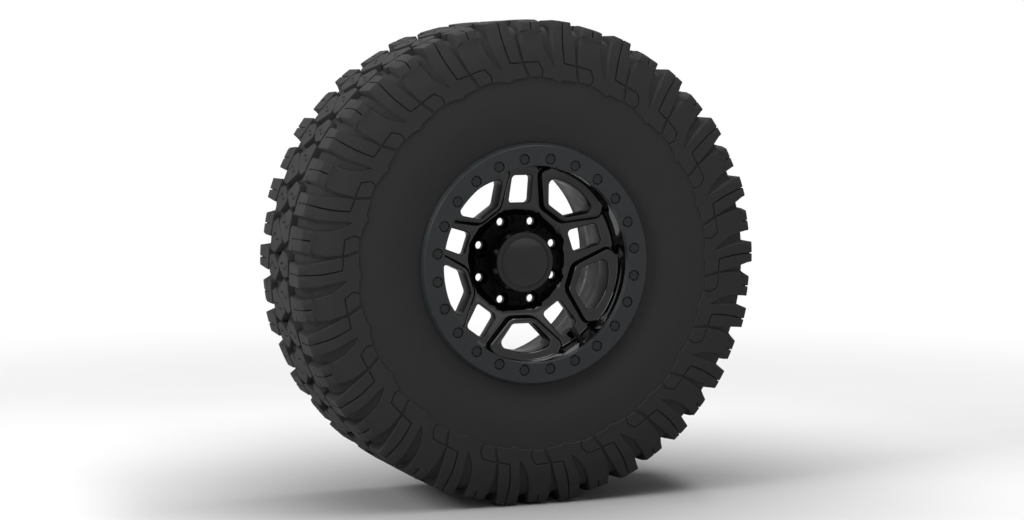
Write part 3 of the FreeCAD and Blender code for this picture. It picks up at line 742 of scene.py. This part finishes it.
CAMERA_PLACE = (-1.587, -4.170, 0.369)
CAMERA_LOOK = (0.3561, 0.9308, -0.0831)
CAMERA_LENS = 79.25
SENSOR_WIDTH = 36


def camera():
    """The photograph's view."""
    data = bpy.data.cameras.new("camera")
    data.sensor_fit = "HORIZONTAL"
    data.sensor_width = SENSOR_WIDTH
    data.lens = CAMERA_LENS
    thing = bpy.data.objects.new("camera", data)
    thing.location = CAMERA_PLACE
    thing.rotation_euler = Vector(CAMERA_LOOK).to_track_quat("-Z", "Y").to_euler()
    bpy.context.scene.collection.objects.link(thing)
    bpy.context.scene.camera = thing


def tyre():
    """Detailed tyre in place of the plain solid."""
    sidewall = joined([
        raised_block(joined_lugs(), [closed_slit(SHORT_LUG_SIPE)]),
        raised_block(foot_tab(), bevel=TAB_BEVEL),
        sipe_floor(LONG_LUG_SIPE[:4]),
        sipe_floor(SHORT_LUG_SIPE[:3]),
    ])
    pieces = [
        mesh_object("tyre_lugs", *ring_of_pitches(sidewall)),
        mesh_object("tyre_centre_blocks", *ring_of_pitches(centre_blocks())),
        carcass(),
    ]
    for piece in pieces:
        wear(piece, "tyre_rubber")
        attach(piece, "wheel")
        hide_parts("tyre")


# Casting

SPOKES = 5
LIP_TILT = 21.3
LIP_MATCH = 0.9998
FLANK_MATCH = 0.9
LIP_ROUNDING = 7
LIP_SEGMENTS = 5
WINDOW_DEPTH = 150
EDGE_ROUNDING = 2.2
EDGE_SEGMENTS = 3
FLAT_ANGLE = 1
WELD = 0.01
RINGED_RADIUS = 190
HUB_RADIUS = 101
HUB_FACE = -30
WALL_LEAN = -0.55
BARREL_RADIUS = 180
BARREL_MOUTH = -88
RECESS_RADIUS = 92
RECESS_EDGE = -58
RING_INSIDE = 195
RIM_ROUNDING = 2
RIM_BAND = 2
RIM_MARGIN = 1


def frame_lip_edges(shape):
    """Outer edges of the raised frames round the large windows."""
    lean = math.radians(LIP_TILT)
    found = []
    for k in range(SPOKES):
        turn = math.radians(-90 + k * 360 / SPOKES)
        outward = Vector((math.cos(turn), 0, math.sin(turn)))
        lip = Vector((0, -math.cos(lean), 0)) - math.sin(lean) * outward
        middle = outward * WINDOW_DEPTH * MM
        for face in shape.faces:
            if face.normal.dot(lip) < LIP_MATCH:
                continue
            for edge in face.edges:
                flank = [f for f in edge.link_faces if f.normal.dot(lip) < FLANK_MATCH]
                if not flank:
                    continue
                centre = (edge.verts[0].co + edge.verts[1].co) / 2 - middle
                centre.y = 0
                if flank[0].normal.dot(centre) > 0 and edge not in found:
                    found.append(edge)
    return found


def round_edges(shape, edges, width, segments):
    """Bevels edges to a round of some width."""
    bmesh.ops.bevel(
        shape,
        geom=edges,
        offset=width * MM,
        offset_type="OFFSET",
        segments=segments,
        profile=0.5,
        affect="EDGES",
        clamp_overlap=False,
    )


def solid_copy(node):
    """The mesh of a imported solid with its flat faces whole."""
    shape = bmesh.new()
    shape.from_mesh(frame["nodes"][node].data)
    bmesh.ops.remove_doubles(shape, verts=shape.verts, dist=WELD * MM)
    flat_angle = math.radians(FLAT_ANGLE)
    bmesh.ops.dissolve_limit(shape, angle_limit=flat_angle, verts=shape.verts, edges=shape.edges)
    return shape


def sharp_edges(shape, inner, outer, rear):
    """Sharp edges between two radii and in front of a plane."""
    found = []
    for edge in shape.edges:
        middle = (edge.verts[0].co + edge.verts[1].co) / 2 / MM
        seen = middle.y < rear and inner < math.hypot(middle.x, middle.z) < outer
        if seen and edge.calc_face_angle(0) > math.radians(SHARP_ANGLE):
            found.append(edge)
    return found


def rounded_piece(name, shape, node, slot):
    """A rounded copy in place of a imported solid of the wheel."""
    mesh = bpy.data.meshes.new(name)
    shape.to_mesh(mesh)
    shape.free()
    mesh.shade_smooth()
    mesh.set_sharp_from_angle(angle=math.radians(SHARP_ANGLE))
    thing = bpy.data.objects.new(name, mesh)
    bpy.context.scene.collection.objects.link(thing)
    wear(thing, slot)
    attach(thing, "wheel")
    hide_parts(node)
    return thing


def casting():
    """The casting with rounded edges and painted shade: a duller black inside its openings and in
    the hub's recess.
    """
    shape = solid_copy("wheel_casting")
    round_edges(shape, frame_lip_edges(shape), LIP_ROUNDING, LIP_SEGMENTS)
    spoke_edges = sharp_edges(shape, HUB_RADIUS, RINGED_RADIUS, HUB_FACE)
    round_edges(shape, spoke_edges, EDGE_ROUNDING, EDGE_SEGMENTS)
    mesh = rounded_piece("casting_rounded", shape, "wheel_casting", "gloss_black").data
    # Painted shade: a duller, barely reflective copy of the gloss black, standing in for the shade
    # inside the openings and in the hub's recess.
    painted_shade = surface("painted_shade_black", 5, 8, (0.3, 0.45), grain=30, bump=0.03, specular=0.04)
    mesh.materials.append(painted_shade)
    # Painted shade goes on faces that do not look to the front, except in the barrel's mouth, and
    # on the hub's recess.
    for face in mesh.polygons:
        middle = face.center / MM
        radius = math.hypot(middle.x, middle.z)
        in_mouth = middle.y < BARREL_MOUTH and radius > BARREL_RADIUS
        in_recess = middle.y > RECESS_EDGE and radius < RECESS_RADIUS
        if in_recess or (face.normal.y > WALL_LEAN and not in_mouth):
            face.material_index = 1


def clamp_ring():
    """The bead-lock ring with rounded rims."""
    shape = solid_copy("beadlock_ring")
    low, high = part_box("beadlock_ring")
    outside, front = high[0] / MM, low[1] / MM
    rims = []
    for edge in sharp_edges(shape, 0, outside + RIM_MARGIN, front + RIM_MARGIN):
        middle = (edge.verts[0].co + edge.verts[1].co) / 2 / MM
        radius = math.hypot(middle.x, middle.z)
        if radius < RING_INSIDE or radius > outside - RIM_BAND:
            rims.append(edge)
    round_edges(shape, rims, RIM_ROUNDING, EDGE_SEGMENTS)
    ring = rounded_piece("clamp_ring_rounded", shape, "beadlock_ring", "satin_grey")
    ring.modifiers.new("even_shading", "WEIGHTED_NORMAL").keep_sharp = True


# Face of the centre cap

DOME_RADIUS = 47
DOME_HEIGHT = 3.3
DOME_RISE = 2.3
DOME_STEPS = 8
DOME_CENTRE = 0.001
AXIS_GAP = 0.01
GROOVE_START = 47.4
GROOVE_END = 48.6
GROOVE_DEPTH = 1.9
RIM_START = 48.9
RIM_SETBACK = 0.3
CAP_SHARP_ANGLE = 40


def cap_face():
    """Domed face plate with a groove inside its rim, in place of the flat plate."""
    low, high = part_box("cap_face")
    radius = high[0] / MM
    front, back = low[1] / MM, high[1] / MM
    section = [(AXIS_GAP, back)]
    for i in range(DOME_STEPS + 1):
        share = max(i / DOME_STEPS, DOME_CENTRE)
        section.append((share * DOME_RADIUS, front - DOME_RISE + DOME_HEIGHT * share**2))
    groove, rim = front + GROOVE_DEPTH, front + RIM_SETBACK
    section += [(GROOVE_START, groove), (GROOVE_END, groove), (RIM_START, rim)]
    section += [(radius, rim), (radius, back)]
    thing = revolved("cap_face_domed", section, CAP_SHARP_ANGLE)
    wear(thing, "cap_face_black")
    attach(thing, "wheel")
    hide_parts("cap_face")


# Lamps, as name, place and size in metres, and power in watts
LAMPS = [
    ("left_box", (-3.7, -0.7, 2.3), (2, 1.6), 125),
    ("top_box", (-0.2, -0.5, 3.4), (4, 4), 100),
    ("edge_strip", (1.2, -0.3, 3.3), (2.5, 0.5), 50),
    ("left_strip", (-3.4, -1.5, 0.3), (0.4, 1.4), 12),
    ("right_box", (2.4, -5.2, 1.7), (4, 2.2), 22),
]
AMBIENT = 0.1
FADE_START = 0.8
FADE_END = 3.2

dress_solids()
tyre()
casting()
clamp_ring()
cap_face()
camera()
world(AMBIENT)
floor(FADE_START, FADE_END)
for lamp in LAMPS:
    softbox(*lamp)
bpy.context.scene.view_settings.view_transform = "Standard"
